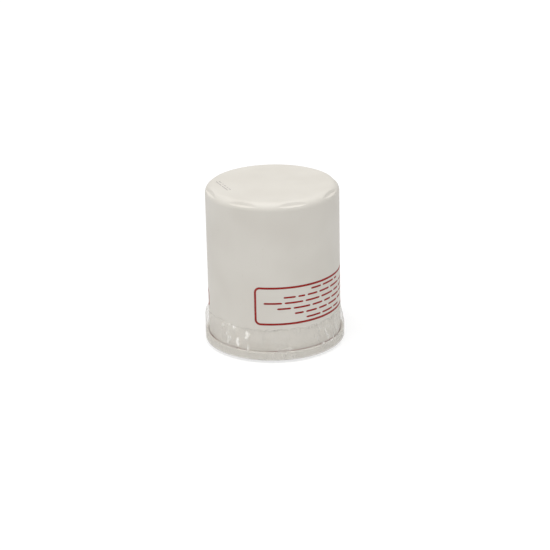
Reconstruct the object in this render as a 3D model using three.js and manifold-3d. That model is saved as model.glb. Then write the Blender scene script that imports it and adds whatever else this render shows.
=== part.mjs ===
// Spin-on oil filter, cut open here as separate pieces: can, lid, gasket, plate, valves and element.
// Millimetres, +Z up. The origin is the centre of the gasket's sealing face, so the dome is at the top.
// Angles turn from the front (-Y) towards +X.
import * as THREE from "three";
import { mergeVertices } from "three/addons/utils/BufferGeometryUtils.js";
import Module from "manifold-3d";

const wasm = await Module();
wasm.setup();

// ---- driving dimensions -------------------------------------------------------------------------

const segments = 48; // round the axis, on the outer pieces, whose walls nest closely
const innerSegments = 32; // round the axis, on the pieces inside

// Canister: a drawn steel cup, open end down
const totalHeight = 81;
const wallRadius = 32.75;
const wallThickness = 0.5;
const shoulderRadius = 4.2; // between the wall and the closed end
const crownHeight = 0.25; // rise of the closed end from its edge to its middle
const flatCount = 8; // wrench flats pressed into the shoulder
const flatDepth = 1.5; // of each flat's middle, inwards from the wall
const flatTilt = THREE.MathUtils.degToRad(30); // of each flat, from upright
const ledgeBottom = 78.15; // of the sloping ledge under each flat
const ledgeHeight = 0.7;
const flatsTurn = THREE.MathUtils.degToRad(18); // of the first flat, from the front

// Double seam, from the inside out: lid, can wall, lid hook, can hook, lid panel
const lidThickness = 0.4;
const seamGap = 0.1; // between two layers
const lidBottom = 1.5;
const seamTop = 5.4;
const compoundHeight = 0.25;

// Gasket and the groove that holds it
const gasketInner = 26.75;
const gasketOuter = 31.25;
const gasketHeight = 4.9;
const gasketChamfer = 0.4;
const grooveTop = 5.45; // upper side of the lid's flat ring
const ridgeRadius = 25.6; // middle of the ridge between the groove and the inlet holes
const ridgeWidth = 1.1;
const ridgeBottom = 2.45;
const lidInnerRadius = 22.8;

// Tapping plate with its threaded hub
const plateBottom = 5.6;
const plateThickness = 2.8;
const plateRadius = 31.2;
const hubRadius = 11.8;
const hubTop = 13.5;
const threadMajor = 10; // M20 x 1.5, internal
const threadMinor = 9.19;
const threadPitch = 1.5;
const threadSegments = 24;
const flareMargin = 0.5; // of the flare at each end of the thread, beyond the major radius
const inletCount = 8;
const inletRadius = 2.75;
const inletPitchRadius = 18.5;
const inletSides = 12;

// Anti-drain valve
const valveCollarInner = 12;
const valveCollarOuter = 14;
const valveTop = 13.8;
const valveLipRadius = 25.2;

// Element: two caps, two adhesive rings, paper and tube, built up from elementBottom
const elementBottom = 14;
const elementHeight = 57.4;
const capThickness = 0.4;
const capRadius = 29.4;
const capFlange = 4.5;
const capNeckRadius = 11.6;
const capNeckHeight = 4;
const layerGap = 0.1; // between pieces that lie on each other
const adhesiveThickness = 1.5;
const adhesiveInner = 12.8;
const adhesiveOuter = 28.8;
const tubeRadius = 12.5;
const tubeThickness = 0.5;
const tubeHoleRadius = 2.2;
const tubeHoleRows = 5;
const tubeHolePairs = 4; // each pair is one hole and the one opposite it
const pleatCount = 40;
const pleatInner = 13.1;
const pleatOuter = 27.9;
const paperThickness = 0.5;
const clipInnerWidth = 3;
const clipThickness = 0.35;
const clipDepth = 4.2;
const clipOuter = 28.75;

// Relief valve, hung under the upper cap
const reliefPortRadius = 5;
const reliefDiscRadius = 6.3;
const reliefSealThickness = 1;
const reliefDiscThickness = 0.6;
const reliefStemRadius = 1.4;
const reliefStemLength = 14.6;
const cageRadius = 8.6;
const cageFlangeRadius = 11.3;
const cageThickness = 0.5;
const cageDepth = 13;
const cageWindowWidth = 7;
const cageHoleRadius = 1.9;
const reliefWire = 0.9;
const reliefCoilRadius = 4.6;
const reliefTurns = 5;
const reliefEndTurns = 0.5; // flat turns at each end

// Element spring, between the upper cap and the closed end
const springWire = 1.6;
const springLowerRadius = 19;
const springUpperRadius = 13;
const springTurns = 3.5;
const springEndTurns = 0.75; // flat turns at each end

// Shrink film round the open end
const filmThickness = 0.15;
const filmTop = 18;
const filmRim = 34.7; // radius outside the seam
const filmBottom = 1.1;
const filmInnerEdge = 32.4;

// ---- colours ------------------------------------------------------------------------------------

function finish(color, roughness, metalness) {
  return new THREE.MeshStandardMaterial({ color, roughness, metalness });
}

const enamel = () => finish(0xcdc9c1, 0.35, 0);
const bareSteel = () => finish(0xa9abad, 0.4, 1);
const springSteel = () => finish(0x7e8082, 0.35, 1);
const blackRubber = () => finish(0x1b1b1c, 0.7, 0);
const redRubber = () => finish(0x8c3a2b, 0.75, 0);
const filterPaper = () => finish(0xd8b46a, 0.9, 0);
const adhesive = () => finish(0x8d8a86, 0.7, 0);
const clearFilm = () => {
  const material = finish(0xf2f2f0, 0.1, 0);
  material.transparent = true;
  material.opacity = 0.3;
  return material;
};

// ---- shapes -------------------------------------------------------------------------------------

// Solid of revolution about +Z from a closed outline of [radius, height] points.
function lathe(outline, steps = segments) {
  const points = outline.map(([radius, height]) => new THREE.Vector2(radius, height));
  if (THREE.ShapeUtils.isClockWise(points)) {
    points.reverse();
  }
  points.push(points[0].clone());
  return new THREE.LatheGeometry(points, steps).rotateX(Math.PI / 2);
}

// Replaces each corner [x, y, radius] of an open line by an arc, in bendSteps straight pieces.
function rounded(corners, bendSteps = 3) {
  const points = [];
  corners.forEach(([x, y, radius = 0], index) => {
    const corner = new THREE.Vector2(x, y);
    if (radius === 0 || index === 0 || index === corners.length - 1) {
      points.push(corner);
      return;
    }
    const before = new THREE.Vector2(...corners[index - 1].slice(0, 2)).sub(corner).normalize();
    const after = new THREE.Vector2(...corners[index + 1].slice(0, 2)).sub(corner).normalize();
    const halfAngle = Math.acos(before.dot(after)) / 2;
    const towardsCentre = before.clone().add(after).normalize();
    const centre = corner.clone().addScaledVector(towardsCentre, radius / Math.sin(halfAngle));
    const reach = radius / Math.tan(halfAngle);
    const start = corner.clone().addScaledVector(before, reach).sub(centre).angle();
    const end = corner.clone().addScaledVector(after, reach).sub(centre).angle();
    const turn = Math.atan2(Math.sin(end - start), Math.cos(end - start));
    for (let step = 0; step <= bendSteps; step += 1) {
      const angle = start + (turn * step) / bendSteps;
      points.push(new THREE.Vector2(Math.cos(angle), Math.sin(angle)).multiplyScalar(radius).add(centre));
    }
  });
  return points.map((point) => [point.x, point.y]);
}

// Moves each point of a line sideways, to its left, keeping the new sides parallel to the old ones.
function offset(points, distance, closed) {
  const count = points.length;
  const sideAfter = (index) => {
    const [ax, ay] = points[(index + count) % count];
    const [bx, by] = points[(index + 1) % count];
    return new THREE.Vector2(ay - by, bx - ax).normalize();
  };
  return points.map(([x, y], index) => {
    const isStart = !closed && index === 0;
    const isEnd = !closed && index === count - 1;
    const before = isStart ? sideAfter(index) : sideAfter(index - 1);
    const after = isEnd ? before : sideAfter(index);
    const mitre = before.clone().add(after).normalize();
    const reach = distance / mitre.dot(before);
    return [x + mitre.x * reach, y + mitre.y * reach];
  });
}

// Closed outline of a sheet of even thickness whose middle follows an open line.
function sheetOutline(centreLine, thickness) {
  const left = offset(centreLine, thickness / 2, false);
  const right = offset(centreLine, -thickness / 2, false);
  return [...left, ...right.reverse()];
}

function ring(inner, outer, bottom, top, steps = innerSegments) {
  return lathe([[inner, bottom], [outer, bottom], [outer, top], [inner, top]], steps);
}

// Straight prism along +Z, from height 0, over a closed outline with an optional hole.
function prism(outline, height, hole = null) {
  const shape = new THREE.Shape(outline.map(([x, y]) => new THREE.Vector2(x, y)));
  if (hole) {
    shape.holes.push(new THREE.Path(hole.map(([x, y]) => new THREE.Vector2(x, y))));
  }
  return new THREE.ExtrudeGeometry(shape, { depth: height, bevelEnabled: false, steps: 1 });
}

function regularOutline(radius, sides) {
  return Array.from({ length: sides }, (_, side) => {
    const angle = (side / sides) * 2 * Math.PI;
    return [radius * Math.cos(angle), radius * Math.sin(angle)];
  });
}

// ---- joining and cutting ------------------------------------------------------------------------

function toManifold(geometry) {
  const bare = geometry.clone();
  bare.deleteAttribute("normal");
  bare.deleteAttribute("uv");
  const merged = mergeVertices(bare, 1e-4);
  const corners = merged.index.array;
  const triangles = [];
  for (let first = 0; first < corners.length; first += 3) {
    const [a, b, c] = corners.slice(first, first + 3);
    if (a !== b && b !== c && c !== a) {
      triangles.push(a, b, c);
    }
  }
  return new wasm.Manifold(new wasm.Mesh({
    numProp: 3,
    vertProperties: new Float32Array(merged.attributes.position.array),
    triVerts: new Uint32Array(triangles),
  }));
}

function toGeometry(manifold) {
  const mesh = manifold.getMesh();
  const geometry = new THREE.BufferGeometry();
  geometry.setAttribute("position", new THREE.BufferAttribute(new Float32Array(mesh.vertProperties), 3));
  geometry.setIndex(new THREE.BufferAttribute(new Uint32Array(mesh.triVerts), 1));
  geometry.computeVertexNormals();
  return geometry;
}

function cut(geometry, ...cutters) {
  const start = toManifold(geometry);
  return toGeometry(cutters.reduce((rest, cutter) => rest.subtract(toManifold(cutter)), start));
}

// ---- canister -----------------------------------------------------------------------------------

// Half outline of the closed end, from the wall round the shoulder to the axis.
function domeOutline(radius, shoulder, top) {
  const shoulderSteps = 4;
  const crownSteps = 3;
  const shoulderTop = top - crownHeight;
  const points = [];
  for (let step = 0; step <= shoulderSteps; step += 1) {
    const angle = (step / shoulderSteps) * (Math.PI / 2);
    points.push([
      radius - shoulder + shoulder * Math.cos(angle),
      shoulderTop - shoulder + shoulder * Math.sin(angle),
    ]);
  }
  for (let step = crownSteps - 1; step >= 0; step -= 1) {
    const share = step / crownSteps;
    points.push([(radius - shoulder) * share, shoulderTop + crownHeight * (1 - share * share)]);
  }
  return points;
}

// Eight-sided solid whose sides are the wrench flats and the ledges under them, moved in by the depth.
function flatsPress(depth) {
  const beyondWall = 2; // where the ledge's slope starts, so that nothing is cut below it
  const ledgeTop = ledgeBottom + ledgeHeight;
  const tip = totalHeight + crownHeight;
  const sides = offset([
    [wallRadius + beyondWall, lidBottom],
    [wallRadius + beyondWall, ledgeBottom - (beyondWall * ledgeHeight) / flatDepth],
    [wallRadius - flatDepth, ledgeTop],
    [wallRadius - flatDepth - (tip - ledgeTop) * Math.tan(flatTilt), tip],
  ], depth);
  const cornerRatio = 1 / Math.cos(Math.PI / flatCount);
  const corners = sides.map(([reach, height]) => [reach * cornerRatio, height]);
  return lathe([[0, lidBottom], ...corners, [0, tip]], flatCount).rotateZ(flatsTurn - Math.PI / flatCount);
}

// Layer radii of the double seam, outwards from the can's wall.
const lidHookInner = wallRadius + seamGap;
const canHookInner = lidHookInner + lidThickness + seamGap;
const lidPanelInner = canHookInner + wallThickness + seamGap;
const canBottom = lidBottom + lidThickness + seamGap;
const canHookTop = seamTop - lidThickness - compoundHeight - 2 * seamGap;

function canister() {
  const bend = 0.3;
  const outside = lathe([
    [0, canBottom],
    [wallRadius, canBottom],
    ...rounded([
      [wallRadius, canBottom],
      [canHookInner + wallThickness, canBottom, wallThickness + bend],
      [canHookInner + wallThickness, canHookTop],
    ]).slice(1),
    [canHookInner, canHookTop],
    [canHookInner, canBottom + wallThickness + bend],
    [canHookInner - bend, canBottom + wallThickness],
    [wallRadius, canBottom + wallThickness],
    ...domeOutline(wallRadius, shoulderRadius, totalHeight),
  ]);
  const inside = lathe([
    [0, 0],
    [wallRadius - wallThickness + bend, 0],
    [wallRadius - wallThickness + bend, canBottom],
    [wallRadius - wallThickness, canBottom + bend],
    ...domeOutline(wallRadius - wallThickness, shoulderRadius - wallThickness, totalHeight - wallThickness),
  ]);
  const body = toManifold(outside).intersect(toManifold(flatsPress(0)));
  const hollow = toManifold(inside).intersect(toManifold(flatsPress(wallThickness)));
  return toGeometry(body.subtract(hollow));
}

// ---- lid, gasket, compound ----------------------------------------------------------------------

function seamingLid() {
  const half = lidThickness / 2;
  const ringLevel = grooveTop - half;
  const chuckRadius = wallRadius - wallThickness - seamGap - half;
  const bottomLevel = lidBottom + half;
  const panelRadius = lidPanelInner + half;
  const hookRadius = lidHookInner + half;
  const bend = 0.5;
  const centreLine = rounded([
    [lidInnerRadius, ringLevel],
    [ridgeRadius - ridgeWidth / 2, ringLevel],
    [ridgeRadius - ridgeWidth / 2, ridgeBottom],
    [ridgeRadius + ridgeWidth / 2, ridgeBottom],
    [ridgeRadius + ridgeWidth / 2, ringLevel],
    [chuckRadius, ringLevel],
    [chuckRadius, bottomLevel, bend],
    [panelRadius, bottomLevel, bend],
    [panelRadius, seamTop - half, bend],
    [hookRadius, seamTop - half, bend],
    [hookRadius, canBottom + wallThickness + 2 * seamGap],
  ], 2);
  return lathe(sheetOutline(centreLine, lidThickness));
}

function sealingGasket() {
  const chamfer = gasketChamfer;
  return lathe([
    [gasketInner + chamfer, 0],
    [gasketOuter - chamfer, 0],
    [gasketOuter, chamfer],
    [gasketOuter, gasketHeight],
    [gasketInner, gasketHeight],
    [gasketInner, chamfer],
  ]);
}

function seamCompound() {
  const bottom = canHookTop + seamGap;
  return ring(canHookInner, canHookInner + wallThickness, bottom, bottom + compoundHeight, segments);
}

// ---- tapping plate ------------------------------------------------------------------------------

// One turn of the thread from below: the plate's crest is flat over a quarter of the pitch, its root over
// an eighth, and the flanks share the rest.
const threadRows = [
  { radius: threadMinor, height: 0 },
  { radius: threadMinor, height: threadPitch / 4 },
  { radius: threadMajor, height: threadPitch * (9 / 16) },
  { radius: threadMajor, height: threadPitch * (11 / 16) },
];

// Screw-shaped cutter for the internal thread. Each column of vertices stands one step further round and
// one step higher, so after a full turn column 0 is met again, one turn of rows up.
function threadCutter(bottom, turns) {
  const rowsPerTurn = threadRows.length;
  const rowCount = turns * rowsPerTurn + 1;
  const rowsStored = rowCount + rowsPerTurn;
  const positions = [];
  for (let column = 0; column < threadSegments; column += 1) {
    const share = column / threadSegments;
    const angle = share * 2 * Math.PI;
    for (let row = 0; row < rowsStored; row += 1) {
      const { radius, height } = threadRows[row % rowsPerTurn];
      const z = bottom + height + threadPitch * (Math.floor(row / rowsPerTurn) + share);
      positions.push(radius * Math.cos(angle), radius * Math.sin(angle), z);
    }
  }
  const vertex = (column, row) =>
    column === threadSegments ? row + rowsPerTurn : column * rowsStored + row;
  const triangles = [];
  for (let column = 0; column < threadSegments; column += 1) {
    for (let row = 0; row < rowCount - 1; row += 1) {
      const start = vertex(column, row);
      const across = vertex(column + 1, row);
      const opposite = vertex(column + 1, row + 1);
      triangles.push(start, across, opposite, start, opposite, vertex(column, row + 1));
    }
  }
  const closeEnd = (row, height, facesUp) => {
    const centre = positions.length / 3;
    positions.push(0, 0, height);
    const round = Array.from({ length: threadSegments }, (_, column) => vertex(column, row));
    const stepDown = Array.from({ length: rowsPerTurn }, (_, index) => vertex(0, row + rowsPerTurn - index));
    const loop = [...round, ...stepDown];
    loop.forEach((from, index) => {
      const to = loop[(index + 1) % loop.length];
      triangles.push(centre, facesUp ? from : to, facesUp ? to : from);
    });
  };
  closeEnd(0, bottom, false);
  closeEnd(rowCount - 1, bottom + threadPitch * (turns + 1), true);
  const geometry = new THREE.BufferGeometry();
  geometry.setAttribute("position", new THREE.Float32BufferAttribute(positions, 3));
  geometry.setIndex(triangles);
  geometry.computeVertexNormals();
  return geometry;
}

// Conical cutter that flares the hub at one end of the thread; outwards is -1 at the bottom, 1 at the top.
function threadFlare(end, outwards) {
  const mouth = threadMajor + flareMargin;
  const depth = mouth - threadMinor;
  const deepEnd = end - outwards * depth;
  const clearOfEnd = end + outwards;
  return lathe([
    [0, deepEnd],
    [threadMinor, deepEnd],
    [mouth, end],
    [mouth, clearOfEnd],
    [0, clearOfEnd],
  ], threadSegments);
}

function tappingPlate() {
  const top = plateBottom + plateThickness;
  const edge = 0.4;
  const blank = lathe([
    [0, plateBottom],
    [plateRadius - edge, plateBottom],
    [plateRadius, plateBottom + edge],
    [plateRadius, top],
    [hubRadius + edge, top],
    [hubRadius, top + edge],
    [hubRadius, hubTop],
    [0, hubTop],
  ]);
  const inlets = Array.from({ length: inletCount }, (_, index) => {
    const angle = (index / inletCount) * 2 * Math.PI;
    const x = inletPitchRadius * Math.sin(angle);
    const y = -inletPitchRadius * Math.cos(angle);
    return prism(regularOutline(inletRadius, inletSides), 3 * plateThickness)
      .translate(x, y, plateBottom - plateThickness);
  });
  const threadTurns = Math.ceil((hubTop - plateBottom) / threadPitch) + 1;
  return cut(
    blank,
    ...inlets,
    threadCutter(plateBottom - 1.5 * threadPitch, threadTurns),
    threadFlare(plateBottom, -1),
    threadFlare(hubTop, 1),
  );
}

// ---- anti-drain valve ---------------------------------------------------------------------------

function antiDrainValve() {
  const plateTop = plateBottom + plateThickness;
  const seat = plateTop + 0.2;
  const lipWidth = 1.4;
  const lipThickness = 0.7;
  const neck = 0.6; // wall of the collar below the disc
  const discThickness = 1.2;
  return lathe([
    [valveCollarInner + 0.4, seat],
    [valveCollarOuter - neck, seat],
    [valveCollarOuter - neck, valveTop - 2 * discThickness],
    [valveLipRadius - lipWidth, seat],
    [valveLipRadius, seat],
    [valveLipRadius, seat + lipThickness],
    [valveCollarOuter + neck, valveTop - discThickness / 2],
    [valveCollarOuter, valveTop],
    [valveCollarInner, valveTop],
    [valveCollarInner, seat + 0.4],
  ], innerSegments);
}

// ---- element ------------------------------------------------------------------------------------

// Heights inside the element, above its lower face.
const adhesiveBottom = capThickness + layerGap;
const paperBottom = adhesiveBottom + adhesiveThickness + layerGap;
const paperHeight = elementHeight - 2 * paperBottom;

function lowerEndCap() {
  const half = capThickness / 2;
  return lathe(sheetOutline([
    [capNeckRadius - half, capNeckHeight],
    [capNeckRadius - half, half],
    [capRadius - half, half],
    [capRadius - half, capFlange],
  ], capThickness), innerSegments);
}

function upperEndCap() {
  const level = elementHeight - capThickness / 2;
  return lathe(sheetOutline([
    [reliefPortRadius, level],
    [capRadius - capThickness / 2, level],
    [capRadius - capThickness / 2, elementHeight - capFlange],
  ], capThickness), innerSegments);
}

function adhesiveRing(bottom) {
  return ring(adhesiveInner, adhesiveOuter, bottom, bottom + adhesiveThickness);
}

// Middle line of the paper, seen from above: straight walls joined alternately outside and inside.
function pleatLine() {
  const walls = 2 * pleatCount;
  const points = [];
  for (let wall = 0; wall < walls; wall += 1) {
    const angle = ((wall + 0.5) / walls) * 2 * Math.PI;
    const radii = wall % 2 === 0 ? [pleatOuter, pleatInner] : [pleatInner, pleatOuter];
    radii.forEach((radius) => points.push([radius * Math.cos(angle), radius * Math.sin(angle)]));
  }
  return points;
}

function pleatedMedia() {
  const line = pleatLine();
  const outside = offset(line, -paperThickness / 2, true);
  const inside = offset(line, paperThickness / 2, true);
  return prism(outside, paperHeight, inside).translate(0, 0, paperBottom);
}

// Folded strip over one outer pleat.
function mediaSeamClip() {
  const half = clipInnerWidth / 2 + clipThickness / 2;
  const back = clipOuter - clipThickness / 2;
  const outline = sheetOutline([
    [back - clipDepth, -half],
    [back, -half],
    [back, half],
    [back - clipDepth, half],
  ], clipThickness);
  return prism(outline, paperHeight - 1).translate(0, 0, paperBottom + 0.5);
}

function centreTube() {
  const height = elementHeight - 2 * adhesiveBottom;
  const wall = ring(tubeRadius - tubeThickness, tubeRadius, adhesiveBottom, adhesiveBottom + height);
  const rowSpacing = height / (tubeHoleRows + 1);
  const drills = [];
  for (let row = 1; row <= tubeHoleRows; row += 1) {
    for (let pair = 0; pair < tubeHolePairs; pair += 1) {
      const turn = ((pair + (row % 2) / 2) / tubeHolePairs) * Math.PI;
      drills.push(
        new THREE.CylinderGeometry(tubeHoleRadius, tubeHoleRadius, 3 * tubeRadius, 6)
          .rotateZ(turn)
          .translate(0, 0, adhesiveBottom + row * rowSpacing),
      );
    }
  }
  return cut(wall, ...drills);
}

// ---- relief valve, with the underside of the upper cap at height 0 ------------------------------

const reliefDiscTop = -layerGap - reliefSealThickness - layerGap;
const cageBottom = -layerGap - cageDepth;

function reliefSeal() {
  return lathe([
    [0, -layerGap - reliefSealThickness],
    [reliefDiscRadius, -layerGap - reliefSealThickness],
    [reliefDiscRadius, -layerGap],
    [0, -layerGap],
  ], innerSegments);
}

function reliefPlunger() {
  return lathe([
    [0, reliefDiscTop - reliefStemLength],
    [reliefStemRadius, reliefDiscTop - reliefStemLength],
    [reliefStemRadius, reliefDiscTop - reliefDiscThickness],
    [reliefDiscRadius, reliefDiscTop - reliefDiscThickness],
    [reliefDiscRadius, reliefDiscTop],
    [0, reliefDiscTop],
  ], innerSegments / 2);
}

function reliefCage() {
  const half = cageThickness / 2;
  const cup = lathe(sheetOutline([
    [cageHoleRadius, cageBottom + half],
    [cageRadius - half, cageBottom + half],
    [cageRadius - half, -layerGap - half],
    [cageFlangeRadius, -layerGap - half],
  ], cageThickness), innerSegments);
  const windowHeight = cageDepth - 3.5;
  const windowAt = cageBottom + 1 + windowHeight / 2;
  return cut(
    cup,
    new THREE.BoxGeometry(cageWindowWidth, 3 * cageRadius, windowHeight).translate(0, 0, windowAt),
    new THREE.BoxGeometry(3 * cageRadius, cageWindowWidth, windowHeight).translate(0, 0, windowAt),
  );
}

// ---- coil springs -------------------------------------------------------------------------------

// Middle line of a coil whose first and last endTurns lie flat.
class CoilCurve extends THREE.Curve {
  constructor(turns, endTurns, lower, upper) {
    super();
    Object.assign(this, { turns, endTurns, lower, upper });
  }

  getPoint(share, target = new THREE.Vector3()) {
    const turn = share * this.turns;
    const climb = THREE.MathUtils.clamp((turn - this.endTurns) / (this.turns - 2 * this.endTurns), 0, 1);
    const radius = THREE.MathUtils.lerp(this.lower.radius, this.upper.radius, share);
    const height = THREE.MathUtils.lerp(this.lower.height, this.upper.height, climb);
    const angle = turn * 2 * Math.PI;
    return target.set(radius * Math.cos(angle), radius * Math.sin(angle), height);
  }
}

function coil(curve, wire, stepsPerTurn, sides) {
  const section = new THREE.Shape(regularOutline(wire / 2, sides).map(([x, y]) => new THREE.Vector2(x, y)));
  return new THREE.ExtrudeGeometry(section, {
    extrudePath: curve,
    steps: Math.round(curve.turns * stepsPerTurn),
    bevelEnabled: false,
  });
}

function reliefSpring() {
  const bottom = cageBottom + cageThickness + layerGap + reliefWire / 2;
  const top = reliefDiscTop - reliefDiscThickness - layerGap - reliefWire / 2;
  const curve = new CoilCurve(
    reliefTurns, reliefEndTurns,
    { radius: reliefCoilRadius, height: bottom },
    { radius: reliefCoilRadius, height: top },
  );
  return coil(curve, reliefWire, 10, 6);
}

function elementSpring() {
  const capTop = elementBottom + elementHeight;
  const crownDrop = crownHeight * (springUpperRadius / (wallRadius - shoulderRadius)) ** 2;
  const ceiling = totalHeight - wallThickness - crownDrop;
  const clearance = 2 * layerGap;
  const curve = new CoilCurve(
    springTurns, springEndTurns,
    { radius: springLowerRadius, height: capTop + clearance + springWire / 2 },
    { radius: springUpperRadius, height: ceiling - clearance - springWire / 2 },
  );
  return coil(curve, springWire, 14, 6);
}

// ---- shrink film --------------------------------------------------------------------------------

// The film grips the wall at its upper edge, stands off like a skirt down to the rim, and turns under it.
function shrinkFilm() {
  const half = filmThickness / 2;
  const grip = wallRadius + seamGap + half;
  const centreLine = rounded([
    [grip, filmTop],
    [grip + 0.15, filmTop - 2.5],
    [filmRim - 0.45, filmTop - 6.5],
    [filmRim, seamTop + 1],
    [filmRim, filmBottom, 0.8],
    [filmInnerEdge, filmBottom],
  ], 2);
  return lathe(sheetOutline(centreLine, filmThickness));
}

// ---- assembly -----------------------------------------------------------------------------------

function piece(name, geometry, material) {
  const mesh = new THREE.Mesh(geometry, material);
  mesh.name = name;
  return mesh;
}

function group(height, ...children) {
  const made = new THREE.Group();
  made.position.z = height;
  made.add(...children);
  return made;
}

const cover = group(
  0,
  piece("seaming_lid", seamingLid(), bareSteel()),
  piece("seam_compound", seamCompound(), adhesive()),
  piece("sealing_gasket", sealingGasket(), blackRubber()),
  piece("tapping_plate", tappingPlate(), bareSteel()),
  piece("anti_drain_valve", antiDrainValve(), redRubber()),
);

const reliefValve = group(
  elementHeight - capThickness,
  piece("relief_seal", reliefSeal(), blackRubber()),
  piece("relief_plunger", reliefPlunger(), bareSteel()),
  piece("relief_spring", reliefSpring(), springSteel()),
  piece("relief_cage", reliefCage(), bareSteel()),
);

const element = group(
  elementBottom,
  piece("lower_end_cap", lowerEndCap(), bareSteel()),
  piece("lower_adhesive", adhesiveRing(adhesiveBottom), adhesive()),
  piece("pleated_media", pleatedMedia(), filterPaper()),
  piece("media_seam_clip", mediaSeamClip(), bareSteel()),
  piece("centre_tube", centreTube(), bareSteel()),
  piece("upper_adhesive", adhesiveRing(elementHeight - adhesiveBottom - adhesiveThickness), adhesive()),
  piece("upper_end_cap", upperEndCap(), bareSteel()),
  reliefValve,
);

const oilFilter = group(
  0,
  piece("canister", canister(), enamel()),
  cover,
  element,
  piece("element_spring", elementSpring(), springSteel()),
  piece("shrink_film", shrinkFilm(), clearFilm()),
);

export default oilFilter;
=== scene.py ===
"""Oil filter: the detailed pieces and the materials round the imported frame.

Lengths are in millimetres, and mesh_object turns them into metres. Named angles are in degrees, and they
turn from the front (-Y) towards +X. Heights come from the frame's boxes, and section sizes are named below.
"""
import math
import random

import bmesh
import bpy
from mathutils import Matrix, Vector, noise


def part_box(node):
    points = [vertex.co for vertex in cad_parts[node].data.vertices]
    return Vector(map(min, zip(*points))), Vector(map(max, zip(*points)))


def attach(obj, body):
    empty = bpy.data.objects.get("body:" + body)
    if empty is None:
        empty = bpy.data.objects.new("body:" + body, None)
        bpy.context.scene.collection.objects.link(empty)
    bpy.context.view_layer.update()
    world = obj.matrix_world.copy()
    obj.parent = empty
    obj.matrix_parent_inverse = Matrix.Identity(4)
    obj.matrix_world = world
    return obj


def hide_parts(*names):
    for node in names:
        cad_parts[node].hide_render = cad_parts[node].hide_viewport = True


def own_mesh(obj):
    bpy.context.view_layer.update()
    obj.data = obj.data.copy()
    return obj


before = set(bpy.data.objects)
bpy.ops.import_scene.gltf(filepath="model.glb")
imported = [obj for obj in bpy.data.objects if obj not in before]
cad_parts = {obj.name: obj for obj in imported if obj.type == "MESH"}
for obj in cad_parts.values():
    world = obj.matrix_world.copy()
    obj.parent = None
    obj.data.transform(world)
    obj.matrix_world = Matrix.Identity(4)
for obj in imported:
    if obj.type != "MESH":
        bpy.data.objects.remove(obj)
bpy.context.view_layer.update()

MM = 0.001  # metres in a millimetre


def box_mm(node):
    """A CAD node's lowest and highest corners, in millimetres."""
    low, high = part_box(node)
    return [c / MM for c in low], [c / MM for c in high]


def node_radius(node):
    return box_mm(node)[1][0]


def node_bottom(node):
    return box_mm(node)[0][2]


def node_top(node):
    return box_mm(node)[1][2]


# ---- sizes that the boxes don't give ----

ROUND = 256  # steps round the axis on the outer pieces
ROUND_CAN = 352  # the can and the film carry finer shapes
ROUND_FILM = 640
ROUND_INSIDE = 128
ROUND_TUBE = 96
ROUND_SMALL = 64

TOP = node_top("canister")
WALL = 32.75  # outer radius of the can's wall
SHEET = 0.5
SHOULDER = 4.2  # radius between the wall and the closed end
SHOULDER_STEPS = 60
CROWN = 0.25  # rise of the closed end from its edge to its middle
CROWN_STEPS = 16
FLAT_EDGE = 0.04  # softness of the edge round each flat
LEDGE_EDGE = 0.05
FLATS = 8
FLATS_TURN = 18.0  # of the first flat, from the front
FLAT_DEPTH = 1.5  # of each wrench flat's middle, inwards from the wall
FLAT_TILT = 30.0  # of each flat, from upright
LEDGE_BOTTOM = 78.15  # of the sloping ledge under each flat
LEDGE_HEIGHT = 0.7

LID_SHEET = 0.4
LAYER = 0.1  # gap between two layers of the double seam
LID_BOTTOM = node_bottom("seaming_lid")
LID_TOP = node_top("seaming_lid")
GROOVE_TOP = 5.45
RIDGE = 25.6
RIDGE_WIDTH = 1.1
RIDGE_BOTTOM = 2.45
LID_INNER = 22.8
LID_HOOK_INNER = WALL + LAYER
CAN_HOOK_INNER = LID_HOOK_INNER + LID_SHEET + LAYER
LID_PANEL_INNER = CAN_HOOK_INNER + SHEET + LAYER
CAN_BOTTOM = node_bottom("canister")
CAN_HOOK_TOP = node_bottom("seam_compound") - LAYER

GASKET_INNER = 26.75
PLATE_BOTTOM = node_bottom("tapping_plate")
PLATE_SHEET = 2.8
HUB = 11.8
HUB_TOP = node_top("tapping_plate")
THREAD_MAJOR = 10.0
THREAD_MINOR = 9.19
THREAD_PITCH = 1.5
THREAD_MOUTH = 10.5
THREAD_CREST = 1 / 4  # share of the pitch
THREAD_ROOT = 1 / 8
THREAD_ROWS = 14  # in each pitch
INLETS = 8
INLET = 2.75
INLET_EDGE = 0.35  # rounding at each face
INLET_CIRCLE = 18.5

VALVE_BORE = 12.0
VALVE_COLLAR = 14.0
VALVE_DISC = 1.2  # thickness of the membrane
VALVE_WAIST = 0.6  # how far the collar steps in below the membrane and out above it
VALVE_LIP = 1.4  # width of the lip's sealing face
VALVE_LIP_EDGE = 0.7
RELIEF_PORT = 5.0
RELIEF_DISC_SHEET = 0.6
RELIEF_STEM = 1.4
RELIEF_WIRE = 0.9
RELIEF_COIL = 4.6
RELIEF_TURNS = 5
RELIEF_END_TURNS = 0.5  # flat turns at each end
CAGE = 8.6
CAGE_SHEET = 0.5
CAGE_GUIDE = 1.9
CAGE_WINDOW = 7.0  # width of each window
CAGE_WINDOW_FOOT = 1.0  # wall left under each window
CAGE_WINDOW_HEAD = 2.5  # wall left over each window
COIL_STEPS = 40  # in each turn
COIL_EASE = 0.04  # how softly the wire leaves its flat end turns

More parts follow.
